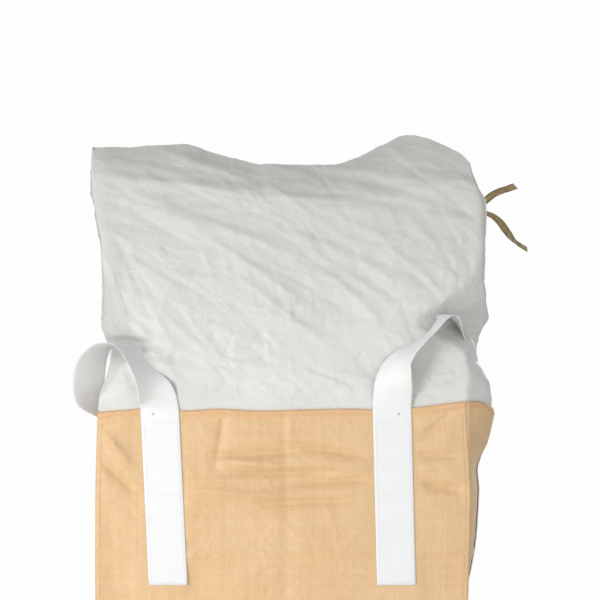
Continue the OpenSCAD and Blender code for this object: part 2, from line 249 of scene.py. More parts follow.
# How far out from the line between a loop's legs each corner of the skirt may stand, by height.
GIVE = 0.006              # how softly the cloth meets that limit
PINCH = (
    ((0.002, 0.14), (0.04, 0.115), (0.077, 0.090), (0.118, 0.066), (0.145, 0.030), (0.163, 0.006),
     (0.174, 0.008), (0.190, 0.034), (0.227, 0.056), (0.283, 0.070), (0.32, 0.086), (0.42, 0.14)),
    ((0.002, 0.15), (0.10, 0.135), (0.136, 0.120), (0.175, 0.086), (0.200, 0.056), (0.220, 0.038),
     (0.238, 0.037), (0.254, 0.050), (0.275, 0.074), (0.30, 0.096), (0.35, 0.122), (0.45, 0.15)),
    ((0.002, 0.14), (0.06, 0.115), (0.12, 0.085), (0.16, 0.044), (0.192, 0.004),
     (0.214, 0.004), (0.235, 0.032), (0.28, 0.066), (0.40, 0.14)),
    ((0.002, 0.14), (0.06, 0.115), (0.11, 0.085), (0.145, 0.044), (0.172, 0.004),
     (0.194, 0.004), (0.215, 0.032), (0.26, 0.066), (0.38, 0.14)),
)


def held_in(xy, z):
    """Pulls each corner of the skirt in behind the crown of its loop."""
    out = xy.copy()
    for c in range(4):
        g = LOOP_AT[c]
        here = (np.sign(xy[..., 0]) == SIDE_X[c]) & (np.sign(xy[..., 1]) == SIDE_Y[c])
        over = (xy - g["mid"]) @ g["out"] - by_height(z, PINCH[c])
        soft = GIVE * np.logaddexp(0, np.clip(over / GIVE, -40, 60))
        soft = np.where(over < -5 * GIVE, 0, soft)
        out = np.where(here[..., None], out - soft[..., None] * g["out"], out)
    return out


# ---- creases ----
def crease(x, z, at, angle, length, width, depth, sharp=1.0):
    """A ridge (or a valley, where depth is negative) centred at a point, at an angle in degrees."""
    c, s = math.cos(math.radians(angle)), math.sin(math.radians(angle))
    along = (x - at[0]) * c + (z - at[1]) * s
    off = -(x - at[0]) * s + (z - at[1]) * c
    return depth * np.exp(-np.abs(off / width) ** sharp) * np.exp(-np.abs(2 * along / length) ** 3)


def scatter(x, z, rng, count, box, angle, spread, length, width, depth, sharp):
    """Many creases at random places in box, with angles about a middle one."""
    total = np.zeros_like(x)
    for _ in range(count):
        at = (rng.uniform(box[0], box[1]), rng.uniform(box[2], box[3]))
        turn = rng.normal(angle, spread)
        span = rng.uniform(*length)
        wide = rng.uniform(*width)
        deep = rng.uniform(*depth) * rng.choice((-1, 1))
        near = (np.abs(x - at[0]) < span) & (np.abs(z - at[1]) < span)
        total[near] += crease(x[near], z[near], at, turn, span, wide, deep, sharp)
    return total


def facets(x, z, cell, shift):
    """Flat-sided crumples: distance to the nearest of scattered points, in cells."""
    flat_x, flat_z = x.ravel() / cell, z.ravel() / cell
    got = [noise.voronoi(Vector((a, b, shift)))[0][0] for a, b in zip(flat_x, flat_z)]
    return np.array(got).reshape(x.shape) - 0.45


def swell(x, z, cell, shift):
    """Smooth, slow unevenness, from about -1 to 1."""
    flat_x, flat_z = x.ravel() / cell, z.ravel() / cell
    got = [noise.noise(Vector((a, b, shift))) for a, b in zip(flat_x, flat_z)]
    return np.array(got).reshape(x.shape)


def hand_placed(x, z, folds, width, deeper=1.0):
    """Folds given one by one, each as x, z, angle, length and depth."""
    return sum(crease(x, z, fold[:2], fold[2], fold[3], width, deeper * fold[4]) for fold in folds)


BODY_FOLDS = (
    (-0.075, 0.985, 3, 0.22, -0.009), (0.11, 0.995, -9, 0.21, -0.008), (0.0, 0.938, 1, 0.26, -0.010),
    (0.12, 0.915, 4, 0.24, -0.008), (-0.06, 0.962, -6, 0.18, 0.006), (0.385, 0.978, -4, 0.15, -0.007),
    (0.40, 0.90, -10, 0.17, -0.009), (0.39, 1.045, 33, 0.12, -0.006), (-0.42, 0.93, -42, 0.13, -0.008),
    (-0.43, 1.01, -50, 0.12, 0.007), (-0.16, 1.02, 80, 0.16, -0.005), (0.02, 1.05, 88, 0.12, 0.003),
    (-0.10, 0.885, -3, 0.24, 0.006), (0.05, 0.862, 2, 0.28, -0.007),
)
SKIRT_FOLDS = (
    (-0.11, 1.475, -36, 0.34, 0.008), (-0.14, 1.56, -24, 0.42, 0.006), (-0.29, 1.60, -19, 0.34, 0.006),
    (-0.135, 1.225, 14, 0.16, -0.007), (0.27, 1.632, -9, 0.44, -0.005), (0.05, 1.41, -30, 0.26, -0.006),
    (0.20, 1.36, -38, 0.26, 0.006), (0.01, 1.33, -22, 0.24, 0.005), (0.27, 1.30, -52, 0.16, -0.004),
    (0.11, 1.53, -20, 0.30, -0.005), (0.40, 1.45, 80, 0.17, 0.004), (0.44, 1.47, 96, 0.17, -0.003),
    (-0.35, 1.36, -56, 0.24, 0.006), (-0.39, 1.43, -66, 0.24, -0.005), (-0.26, 1.30, -40, 0.20, 0.005),
    (-0.20, 1.735, -21, 0.30, 0.009), (-0.04, 1.742, -21, 0.24, 0.007), (0.43, 1.692, 33, 0.16, 0.008),
    (0.30, 1.76, -52, 0.12, 0.005),
)
# Random folds: how many, the box they lie in, middle angle and its spread, then the ranges of their
# length, width and depth, and how sharp they are.
BODY_SCATTER = (
    (44, (-0.46, 0.46, 0.05, 1.06), 0, 14, (0.08, 0.36), (0.005, 0.011), (0.0012, 0.0036), 1.1),
    (70, (-0.46, 0.46, 0.02, 1.08), 25, 50, (0.04, 0.14), (0.003, 0.007), (0.0006, 0.0018), 1.1),
)
SKIRT_SCATTER = (
    (60, (-0.46, 0.46, BODY_H + 0.06, TOP_Z - 0.12), -32, 14, (0.12, 0.36), (0.005, 0.010),
     (0.0018, 0.0045), 0.9),
    (230, (-0.46, 0.46, BODY_H + 0.02, TOP_Z - 0.04), -28, 38, (0.03, 0.12), (0.003, 0.006),
     (0.0008, 0.0026), 0.9),
    (170, (-0.46, 0.46, BODY_H + 0.01, BODY_H + 0.42), 10, 65, (0.03, 0.10), (0.003, 0.0055),
     (0.0010, 0.0026), 0.9),
    (26, (-0.40, 0.40, TOP_Z - 0.19, TOP_Z - 0.05), -2, 8, (0.14, 0.40), (0.006, 0.010),
     (0.0015, 0.003), 1.1),
)


def body_creases(side, x, z):
    """Outward offset of a body panel: x is measured from its middle, as seen from outside."""
    rng = np.random.default_rng(SEED + side)
    h = 0.008 * swell(x, z, 0.42, 3.1 + side) + 0.003 * swell(x, z, 0.16, 9.7 + side)
    h += 0.0030 * facets(x, z, 0.115, 5.3 + side) + 0.0012 * facets(x, z, 0.045, 1.7 + side)
    for row in BODY_SCATTER:
        h += scatter(x, z, rng, *row)
    # Straight folds left from being packed flat.
    for fold_z in (0.36, 0.73):
        h += crease(x, z, (0.02, fold_z), 0.6, 1.7, 0.016, 0.0042)
    h += crease(x, z, (0.01, 0.55), 90.4, 2.4, 0.014, -0.0034)
    if side == 0:
        h += hand_placed(x, z, BODY_FOLDS, 0.010, 1.6)
    h *= 1.4 if side == 0 else 1.9
    # The foot of the empty bag settles into short upright buckles.
    return h + np.exp(-z / 0.07) * (0.010 * np.abs(swell(x, z * 0.3, 0.09, 21.0 + side)) + 0.002)


def skirt_creases(side, x, z):
    """Outward offset of the thin skirt, which is crumpled all over."""
    rng = np.random.default_rng(SEED + 40 + side)
    slant = x - 0.35 * z
    h = 0.009 * swell(x, z, 0.36, 13.1 + side) + 0.003 * swell(x, z, 0.15, 4.2 + side)
    h += 0.0040 * facets(slant, z * 1.5, 0.115, 7.7 + side)
    h += 0.0022 * facets(slant, z * 1.4, 0.046, 2.9 + side)
    for row in SKIRT_SCATTER:
        h += scatter(x, z, rng, *row)
    if side == 0:
        h += hand_placed(x, z, SKIRT_FOLDS, 0.010, 0.75)
        # The skirt's left corner hangs in two upright folds.
        h += crease(x, z, (-0.437, 1.385), -75, 0.24, 0.008, 0.011)
        h += crease(x, z, (-0.456, 1.35), -82, 0.18, 0.006, -0.008)
    return 1.2 * h * smooth((z - BODY_H) / SKIRT_H / 0.05 + 0.05)


def legs_on(side):
    """The sewn legs on one side of the bag: the loop, and True for its front or back leg."""
    return [(c, on_face) for c in range(4) for on_face in (True, False)
            if side == (face_side(c) if on_face else flank_side(c))]


def strap_mask(side, x, z):
    """1 on free cloth, falling to 0 under the sewn legs of the loops."""
    keep = np.ones_like(x)
    for c, on_face in legs_on(side):
        corner = SIDE_X[c] if on_face else SIDE_Y[c]
        middle = corner * (HALF_W - ROOT_IN[c]) * (1 if side < 2 else -1)
        near = 1 - smooth((np.abs(x - middle) - 0.052) / 0.035)
        near *= smooth((z - (BODY_H - SEWN - 0.05)) / 0.05) * (z <= BODY_H + 0.03)
        keep *= 1 - near
    return keep


# ---- mouth: tables for the four sides, x from each side's middle as seen from outside ----
MOUTH_EDGE = (            # height of the mouth's edge
    ((-0.49, 1.777), (-0.40, 1.780), (-0.25, 1.790), (-0.19, 1.771), (-0.10, 1.746), (-0.055, 1.737),
     (0.12, 1.735), (0.20, 1.758), (0.26, 1.789), (0.305, 1.813), (0.33, 1.815), (0.36, 1.808),
     (0.385, 1.797), (0.435, 1.770), (0.472, 1.737), (0.49, 1.724)),
    ((-0.49, 1.724), (-0.45, 1.716), (-0.3, 1.700), (-0.15, 1.698), (0.1, 1.700), (0.3, 1.690),
     (0.49, 1.700)),
    ((-0.49, 1.700), (-0.25, 1.716), (0.05, 1.676), (0.3, 1.702), (0.49, 1.710)),
    ((-0.49, 1.710), (-0.2, 1.722), (0.1, 1.748), (0.35, 1.765), (0.49, 1.777)),
)
PLAIN_BAND = ((-0.49, 0.08), (0.49, 0.08))
LEAN_BAND = (             # how tall the stretch under the mouth is that leans inwards
    ((-0.49, 0.065), (-0.25, 0.106), (0.0, 0.088), (0.15, 0.094), (0.30, 0.145), (0.41, 0.098),
     (0.49, 0.045)),
    PLAIN_BAND, PLAIN_BAND, PLAIN_BAND,
)
LEAN_IN = (               # how far the mouth's edge leans inwards
    ((-0.49, 0.003), (-0.40, 0.048), (-0.25, 0.076), (0.0, 0.070), (0.15, 0.074), (0.30, 0.096),
     (0.41, 0.054), (0.49, 0.010)),
    ((-0.49, 0.010), (-0.3, 0.020), (0.49, 0.025)),
    ((-0.49, 0.02), (0.0, 0.03), (0.49, 0.02)),
    ((-0.49, 0.02), (0.0, 0.03), (0.49, 0.003)),
)
LEVEL = ((-0.45, 0), (0.45, 0))
SEAM_LIFT = (             # how far the skirt seam rises, most at the front right corner
    ((-0.475, -0.006), (-0.42, -0.001), (-0.36, 0.003), (-0.28, -0.001), (-0.24, -0.0015),
     (-0.17, 0.003), (-0.06, -0.002), (0.06, 0.001), (0.18, 0.003), (0.25, 0.001), (0.475, 0.022)),
    ((-0.45, 0.022), (-0.34, -0.006), (-0.2, 0.0), (0.45, 0.0)),
    LEVEL, LEVEL,
)


def mouth_height(side, x):
    ripple = 0.0022 * swell(x, 0 * x, 0.045, 31.0 + side) + 0.0012 * swell(x, 0 * x, 0.016, 37.0 + side)
    return curve(x, MOUTH_EDGE[side]) + ripple


def lifted(side, x, z):
    """Moves points near the seam up or down with it."""
    near = np.where(z < BODY_H, smooth((z - (BODY_H - 0.22)) / 0.22),
                    1 - smooth((z - BODY_H) / 0.2))
    return z + near * curve(x, SEAM_LIFT[side])


# ---- grids on the outline ----
COLS, ROWS = 150, 168
SKIRT_COLS, SKIRT_ROWS = (176, 92, 84, 88), 108
RELIEF = 0.6              # share of the skirt's folds that held_in keeps


def columns(count):
    """u, and x in metres from the middle of the side as seen from outside."""
    u = np.linspace(0, 1, count + 1)
    return u, (u - 0.5) * PANEL_W


def outward(xy):
    """Outward normals of an outline that runs anticlockwise seen from above."""
    run = np.gradient(xy, axis=1)
    return unit(np.stack([run[..., 1], -run[..., 0]], -1))


def body_grid(side, off=0.0):
    """A body panel's outside, moved outwards by off, and x and z of each point on the flat cloth."""
    u, x = columns(COLS)
    uu, zz = np.meshgrid(u, np.linspace(FOOT_Z, BODY_H, ROWS + 1))
    xx = np.broadcast_to(x, zz.shape).copy()
    xy = outline(side, uu, zz)
    edge = smooth((HALF_W - np.abs(xx)) / 0.05)
    h = body_creases(side, xx, zz) * strap_mask(side, xx, zz) * edge * smooth(zz / 0.02)
    h *= 0.35 + 0.65 * smooth((BODY_H - zz) / 0.05)
    hem = BODY_T * smooth((zz - (BODY_H - HEM_H)) / 0.002)
    xy = xy + outward(xy) * (h + hem + off)[..., None]
    return np.dstack([xy, lifted(side, xx, zz)]), xx, zz


def skirt_grid(side, count):
    """One side of the skirt, x of each point on the flat cloth, and the folds that held_in keeps."""
    u, x = columns(count)
    uu, vv = np.meshgrid(u, np.linspace(0, 1, SKIRT_ROWS + 1))
    xx = np.broadcast_to(x, vv.shape).copy()
    top = mouth_height(side, xx)
    start = BODY_H - TUCK
    zz = start + vv * (top - start)
    xy = outline(side, uu, np.maximum(zz, BODY_H))
    plain = outward(xy)
    bent = np.clip(1 - (top - zz) / curve(xx, LEAN_BAND[side]), 0, 1)
    edge = smooth((HALF_W - np.abs(xx)) / 0.04)
    folds = skirt_creases(side, xx, zz) * (0.25 + 0.75 * edge)
    h = folds - curve(xx, LEAN_IN[side]) * bent ** 1.15
    h -= 0.0028 * (1 - smooth((zz - BODY_H) / 0.03))
    return np.dstack([xy + plain * h[..., None], zz]), xx, RELIEF * plain * folds[..., None]


def rounded(points, corner_columns):
    """Rounds the corners of the skirt's closed outline, more towards the mouth."""
    z = points[..., 2]
    step = np.arange(points.shape[1])
    for column, reach, start in corner_columns:
        gap = np.abs((step - column + points.shape[1] // 2) % points.shape[1] - points.shape[1] // 2)
        share = (1 - smooth(gap / (2.2 * reach)))[None] * smooth((z - start) / 0.16)
        soft = np.zeros_like(points[..., :2])
        total = 0
        for k in range(-reach, reach + 1):
            weight = math.exp(-(2 * k / reach) ** 2 / 2)
            soft += weight * np.roll(points[..., :2], k, 1)
            total += weight
        points[..., :2] += share[..., None] * (soft / total - points[..., :2])
    return points


# ---- meshes ----
def linked(name, data):
    obj = bpy.data.objects.new(name, data)
    bpy.context.scene.collection.objects.link(obj)
    return obj


def mesh_object(name, points, faces, corner_uv=None):
    """A mesh piece; with a flat place for each corner of each face, it is smooth."""
    mesh = bpy.data.meshes.new(name)
    mesh.from_pydata(np.asarray(points).tolist(), [], faces)
    if corner_uv is not None:
        layer = mesh.uv_layers.new(name="cloth")
        layer.data.foreach_set("uv", corner_uv.ravel().astype(np.float32))
        mesh.polygons.foreach_set("use_smooth", np.ones(len(faces), bool))
    mesh.update()
    return linked(name, mesh)


def corners_of(grid):
    """The four corners of each cell of a grid, for its faces or for their flat places."""
    corners = np.stack([grid[:-1, :-1], grid[:-1, 1:], grid[1:, 1:], grid[1:, :-1]], 2)
    return corners.reshape(-1, 4, *grid.shape[2:])


def grid_object(name, points, uv, closed=False):
    """A quad mesh on a grid of points[row][column]; closed joins the last column to the first."""
    index = np.arange(points.shape[0] * points.shape[1]).reshape(points.shape[:2])
    if closed:
        index = np.column_stack([index, index[:, 0]])
        uv = np.concatenate([uv, uv[:, :1] + [[[4 * PANEL_W, 0]]]], 1)
    return mesh_object(name, points.reshape(-1, 3), corners_of(index).tolist(), corners_of(uv))


def strap_object(name, centre, normal, half, width, run):
    """A strap that stands out by half on both sides of a grid of centre points, closed at its ends."""
    s = np.linspace(-0.5, 0.5, centre.shape[1]) * width
    points = np.concatenate([centre + normal * half, (centre - normal * half)[:, ::-1]], 1)
    rows, cols = points.shape[:2]
    index = np.arange(rows * cols).reshape(rows, cols)
    faces = corners_of(np.column_stack([index, index[:, 0]])).tolist()
    for ring, order in ((index[0], 1), (index[-1], -1)):
        for j in range(cols // 2 - 1):
            quad = [int(ring[k]) for k in (j, cols - 1 - j, cols - 2 - j, j + 1)]
            faces.append(quad[::order])
    uv = np.dstack(np.broadcast_arrays(np.concatenate([s, s[::-1]]), run[:, None])).reshape(-1, 2)
    return mesh_object(name, points.reshape(-1, 3), faces, uv[np.array(faces)])


def thicken(obj, thickness, offset=-1.0):
    mod = obj.modifiers.new("thickness", "SOLIDIFY")
    mod.thickness = thickness
    mod.offset = offset
    mod.use_even_offset = False
    return obj


# ---- materials ----
TAN = ((0.22, (0.670, 0.430, 0.218)), (0.5, (0.742, 0.502, 0.270)), (0.78, (0.790, 0.555, 0.320)))
HEM_TAN = (0.77, 0.43, 0.21)
CLOTH_WHITE = ((0.25, (0.80, 0.80, 0.766)), (0.75, (0.875, 0.882, 0.857)))
# Painted shade: the colour that the skirt darkens to towards the mouth.
SHADED_WHITE = (0.665, 0.655, 0.62)
THROUGH_WHITE = (0.85, 0.84, 0.79)
WEBBING_WHITE = ((0.25, (0.815, 0.828, 0.834)), (0.75, (0.865, 0.874, 0.878)))
KNOT_DARK = (0.20, 0.18, 0.16)
OLIVE = ((0.25, (0.30, 0.215, 0.095)), (0.5, (0.50, 0.365, 0.170)), (0.75, (0.68, 0.510, 0.280)))
OLIVE_EDGE = (0.15, 0.115, 0.055)
THREAD_WHITE = ((0.3, (0.78, 0.78, 0.76)), (0.7, (0.86, 0.86, 0.84)))
THREAD_TAN = ((0.3, (0.64, 0.42, 0.24)), (0.7, (0.76, 0.53, 0.33)))
FLOOR_GREY = ((0.3, (0.86, 0.86, 0.85)), (0.7, (0.88, 0.88, 0.87)))


class Nodes:
    """A short way to write a material's nodes."""

    def __init__(self, name):
        self.material = bpy.data.materials.new(name)
        self.material.use_nodes = True
        self.tree = self.material.node_tree
        self.shader = self.tree.nodes["Principled BSDF"]
        self.out = self.tree.nodes["Material Output"]

    def put(self, value, socket):
        """Links another node's output to a socket, or sets the socket's own value."""
        if isinstance(value, bpy.types.NodeSocket):
            self.tree.links.new(value, socket)
        elif isinstance(value, tuple):
            socket.default_value = (*value, 1)[:len(socket.default_value)]
        else:
            socket.default_value = value

    def new(self, kind, inputs=None, **settings):
        node = self.tree.nodes.new(kind)
        for key, value in settings.items():
            setattr(node, key, value)
        for key, value in (inputs or {}).items():
            self.put(value, node.inputs[key])
        return node

    def math(self, op, *values):
        return self.new("ShaderNodeMath", dict(enumerate(values)), operation=op).outputs[0]

    def weighted(self, *terms):
        """The sum of values times their shares."""
        total = self.math("MULTIPLY", *terms[0])
        for term in terms[1:]:
            total = self.math("ADD", total, self.math("MULTIPLY", *term))
        return total

    def waves(self, value, pitch):
        """Rounded ridges across a value, one for each pitch."""
        return self.math("ABSOLUTE", self.math("SINE", self.math("MULTIPLY", value, math.pi / pitch)))

    def uv(self):
        node = self.new("ShaderNodeUVMap", uv_map="cloth")
        split = self.new("ShaderNodeSeparateXYZ", {0: node.outputs[0]})
        return node.outputs[0], split.outputs[0], split.outputs[1]

    def place(self):
        return self.new("ShaderNodeNewGeometry").outputs["Position"]

    def noise(self, vector, scale, detail=3.0, rough=0.5):
        inputs = {"Vector": vector, "Scale": scale, "Detail": detail, "Roughness": rough}
        return self.new("ShaderNodeTexNoise", inputs).outputs["Fac"]

    def stretched(self, vector, scale):
        return self.new("ShaderNodeVectorMath", {0: vector, 1: scale}, operation="MULTIPLY").outputs[0]

    def ramp(self, value, stops):
        node = self.new("ShaderNodeValToRGB", {0: value})
        colours = node.color_ramp.elements
        for element, (place, colour) in zip(colours, (stops[0], stops[-1])):
            element.position, element.color = place, (*colour, 1)
        for place, colour in stops[1:-1]:
            colours.new(place).color = (*colour, 1)
        return node.outputs[0]

    def mixed(self, share, a, b):
        return self.new("ShaderNodeMix", {0: share, 6: a, 7: b}, data_type="RGBA").outputs[2]

    def bump(self, height, distance, strength=1.0, under=None):
        inputs = {"Strength": strength, "Distance": distance, "Height": height}
        if under is not None:
            inputs["Normal"] = under
        return self.new("ShaderNodeBump", inputs).outputs[0]

    def finish(self, colour, rough, normal=None, sheen=0.0, through=0.0, through_colour=None):
        """Joins the shader up; through is the share of light that passes into the cloth."""
        inputs = {"Base Color": colour, "Roughness": rough, "Sheen Weight": sheen, "Sheen Roughness": 0.4}
        if normal is not None:
            inputs["Normal"] = normal
        for key, value in inputs.items():
            self.put(value, self.shader.inputs[key])
        surface = self.shader
        if through:
            glow = self.new("ShaderNodeBsdfTranslucent", {0: through_colour})
            shares = {0: through, 1: surface.outputs[0], 2: glow.outputs[0]}
            surface = self.new("ShaderNodeMixShader", shares)
        self.put(surface.outputs[0], self.out.inputs["Surface"])
        return self.material


def tape_weave(n, u, v, pitch):
    """A plain weave of flat tapes: how high it stands, and a slight tone of its own for each tape."""
    across, along = (n.math("FLOOR", n.math("MULTIPLY", value, 1 / pitch)) for value in (u, v))
    hill_u, hill_v = n.waves(u, pitch), n.waves(v, pitch)
    turn = n.math("PINGPONG", n.math("ADD", across, along), 1.0)
    over = n.math("MULTIPLY", turn, n.math("SUBTRACT", hill_u, hill_v))
    one, two = (n.new("ShaderNodeTexWhiteNoise", {"W": tape}, noise_dimensions="1D").outputs[0]
                for tape in (across, along))
    return n.math("ADD", over, hill_v), n.weighted((one, 0.5), (two, 0.5))


def body_material():
    n = Nodes("tan_woven_cloth")
    vector, u, v = n.uv()
    height, tone = tape_weave(n, u, v, BODY_TAPE)
    cloud = n.noise(vector, 5.0, 4.0, 0.6)
    streak = n.noise(n.stretched(vector, (60, 2.0, 1)), 1.0, 2.0)
    shade = n.weighted((tone, 0.18), (cloud, 0.55), (streak, 0.27))
    colour = n.ramp(shade, TAN)
    hem = n.math("GREATER_THAN", v, BODY_H - HEM_H - 0.0005)
    colour = n.mixed(n.math("MULTIPLY", hem, 0.42), colour, HEM_TAN)
    rough = n.math("MULTIPLY_ADD", n.noise(vector, 240.0, 3.0, 0.6), 0.14, 0.44)
    normal = n.bump(n.noise(vector, 46.0, 4.0, 0.55), 0.0022, 0.5)
    normal = n.bump(ridges(n, vector, (1, 1, 1), 17.0), 0.0035, 0.5, normal)
    normal = n.bump(height, 0.00016, 0.5, normal)
    return n.finish(colour, rough, normal, sheen=0.08)


def ridges(n, vector, stretch, scale, detail=3.0):
    """Sharp, branching folds: bright lines where smooth noise passes its middle."""
    field = n.noise(n.stretched(vector, stretch), scale, detail, 0.55)
    off = n.math("ABSOLUTE", n.math("SUBTRACT", field, 0.5))
    return n.math("SUBTRACT", 1.0, n.math("POWER", n.math("MULTIPLY", off, 4.0), 0.7))


def skirt_material():
    n = Nodes("thin_white_cloth")
    vector, u, v = n.uv()
    height, tone = tape_weave(n, u, v, SKIRT_TAPE)
    shade = n.weighted((tone, 0.2), (n.noise(vector, 4.0, 4.0, 0.6), 0.8))
    # Painted shade: the cloth is coloured darker towards the mouth, where less light falls on it.
    mouth_shade = n.new("ShaderNodeMapRange", {"Value": v, "From Min": BODY_H, "From Max": TOP_Z - 0.1,
                                          "To Max": 0.8}, interpolation_type="SMOOTHSTEP")
    colour = n.mixed(mouth_shade.outputs[0], n.ramp(shade, CLOTH_WHITE), SHADED_WHITE)
    crumple = n.noise(vector, 38.0, 5.0, 0.62)
    slanted = n.new("ShaderNodeVectorRotate", {"Vector": vector, "Angle": math.radians(32)},
                    rotation_type="Z_AXIS")
    normal = n.bump(crumple, 0.0030, 0.5)
    normal = n.bump(ridges(n, slanted.outputs[0], (1.0, 2.2, 1), 5.0, 2.0), 0.0060, 0.30, normal)
    normal = n.bump(ridges(n, vector, (1.0, 1.3, 1), 24.0), 0.0022, 0.38, normal)
    normal = n.bump(height, 0.00012, 0.45, normal)
    rough = n.math("MULTIPLY_ADD", crumple, 0.2, 0.36)
    return n.finish(colour, rough, normal, sheen=0.05, through=0.18, through_colour=THROUGH_WHITE)


def webbing_material():
    n = Nodes("white_webbing")
    vector, u, v = n.uv()
    rib = n.waves(u, 0.0048)
    pick = n.math("ABSOLUTE", n.math("SINE", n.weighted((v, math.pi / 0.0022), (rib, 1.2))))
    height = n.weighted((rib, 0.7), (pick, 0.5))
    yarn = n.noise(n.stretched(vector, (900, 60, 1)), 1.0, 2.0)
    colour = n.ramp(n.weighted((n.noise(vector, 14.0), 0.5), (yarn, 0.5)), WEBBING_WHITE)
    # A small dark knot of thread shows on each front or back leg, just under the skirt seam.
    side = n.math("SUBTRACT", n.math("ABSOLUTE", u), 0.017)
    rise = n.math("SUBTRACT", v, SEWN - 0.011)
    off = n.math("SQRT", n.math("ADD", n.math("POWER", side, 2.0), n.math("POWER", rise, 2.0)))
    knot = n.math("MULTIPLY", n.math("LESS_THAN", off, 0.0032), n.math("GREATER_THAN", u, 0.0))
    colour = n.mixed(n.math("MULTIPLY", knot, 0.62), colour, KNOT_DARK)
    return n.finish(colour, 0.58, n.bump(height, 0.0005, 0.55), sheen=0.15)


def thread_material(name, tones):
    n = Nodes(name)
    twist = n.new("ShaderNodeTexWave", {"Scale": 420.0, "Vector": n.place()}, bands_direction="DIAGONAL")
    colour = n.ramp(n.noise(n.place(), 90.0), tones)
    return n.finish(colour, 0.6, n.bump(twist.outputs[0], 0.0003, 0.6), sheen=0.2)


def tape_material():
    n = Nodes("olive_tie_tape")
    vector, u, v = n.uv()
    height = n.weighted((n.waves(u, 0.0014), 1.0), (n.waves(v, 0.0012), 0.6))
    edge = n.math("POWER", n.math("MULTIPLY", n.math("ABSOLUTE", u), 2 / TAPE_W), 3.0)
    colour = n.mixed(n.math("MULTIPLY", edge, 0.7), n.ramp(n.noise(vector, 60.0), OLIVE), OLIVE_EDGE)
    return n.finish(colour, 0.46, n.bump(height, 0.0003, 0.6), sheen=0.1)


# ---- camera, light and floor ----
FRAME_W = 1.545           # width that the picture takes in at the front panel
LENS, SENSOR = 150.0, 36.0
LOOK_AT = Vector((0.048, -SEAM_HD, 1.383))
WORLD_SEEN = (0.985, 0.985, 0.985)
WORLD_LIT, WORLD_POWER = (0.97, 0.985, 1.0), 0.50
WARM, WHITE = (1.0, 0.985, 0.965), (1, 1, 1)
# name, place, what it points at, size, power, colour
LIGHTS = (("key", (-2.3, -4.1, 0.85), (0, -0.4, 1.3), 1.5, 86, WARM),
          ("fill", (1.9, -3.6, 1.3), (0, -0.4, 1.2), 1.8, 16, WHITE),
          ("side", (-3.4, -2.6, 2.3), (0, -0.4, 1.2), 1.5, 20, WHITE),
          ("back", (2.5, 4.5, 3.0), (0, 0, 1.0), 2.5, 90, WHITE))
FLOOR_R = 3.4


def make_camera():
    data = bpy.data.cameras.new("camera")
    data.lens, data.sensor_width = LENS, SENSOR
    obj = linked("camera", data)
    obj.location = LOOK_AT + Vector((0, -FRAME_W * LENS / SENSOR, 0))
    obj.rotation_euler = (math.pi / 2, 0, 0)
    bpy.context.scene.camera = obj


def area_light(name, place, target, size, power, colour):
    data = bpy.data.lights.new(name, "AREA")
    data.shape, data.size, data.energy, data.color = "DISK", size, power, colour
    obj = linked(name, data)
    obj.location = place
    obj.rotation_euler = (Vector(target) - Vector(place)).to_track_quat("-Z", "Y").to_euler()
    obj.visible_camera = False


def make_light():
    scene = bpy.context.scene
    scene.view_settings.view_transform = "Standard"
    world = bpy.data.worlds.new("studio")
    scene.world = world
    world.use_nodes = True
    nodes, links = world.node_tree.nodes, world.node_tree.links
    nodes.clear()
    seen, lit = nodes.new("ShaderNodeBackground"), nodes.new("ShaderNodeBackground")
    seen.inputs[0].default_value = (*WORLD_SEEN, 1)
    lit.inputs[0].default_value = (*WORLD_LIT, 1)
    lit.inputs[1].default_value = WORLD_POWER
    path, mix = nodes.new("ShaderNodeLightPath"), nodes.new("ShaderNodeMixShader")
    out = nodes.new("ShaderNodeOutputWorld")
    links.new(path.outputs["Is Camera Ray"], mix.inputs[0])
    links.new(lit.outputs[0], mix.inputs[1])
    links.new(seen.outputs[0], mix.inputs[2])
    links.new(mix.outputs[0], out.inputs[0])
    for light in LIGHTS:
        area_light(*light)


def make_floor():
    steps = 96
    turn = np.linspace(0, 2 * np.pi, steps, endpoint=False)
    ring = np.column_stack([FLOOR_R * np.cos(turn), FLOOR_R * np.sin(turn), 0 * turn])
    obj = mesh_object("floor", ring, [list(range(steps))])
    n = Nodes("pale_floor")
    obj.data.materials.append(n.finish(n.ramp(n.noise(n.place(), 3.0), FLOOR_GREY), 0.7))


# ---- body ----
def dress(obj, nodes, material, body="root"):
    """Says which CAD nodes a piece replaces, its material and slot, and the body that it rides on."""
    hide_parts(*nodes)
    obj.data.materials.append(material)
    if body:
        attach(obj, body)


def make_body(material):
    nodes = ("front_panel", "right_side_panel", "back_panel", "left_side_panel")
    for side, (name, node) in enumerate(zip(SIDES, nodes)):
        points, xx, zz = body_grid(side)
        uv = np.dstack([xx + side * PANEL_W, zz])
        obj = thicken(grid_object(name + "_cloth", points, uv), BODY_T)
        dress(obj, [node], material)


def make_base(material):
    side = np.linspace(-HALF_W + 0.001, HALF_W - 0.001, 111)
    xx, yy = np.meshgrid(side, side)
    rim = smooth((HALF_W - np.maximum(np.abs(xx), np.abs(yy))) / 0.05)
    lift = 0.004 + 0.004 * swell(xx, yy, 0.2, 3.3) + 0.004 * facets(xx, yy, 0.09, 8.1)
    zz = 0.0016 + np.maximum(lift, 0) * rim
    obj = thicken(grid_object("bottom_cloth", np.dstack([xx, yy, zz]), np.dstack([xx, yy - 3.0])), BODY_T)
    dress(obj, ["bottom_panel"], material)


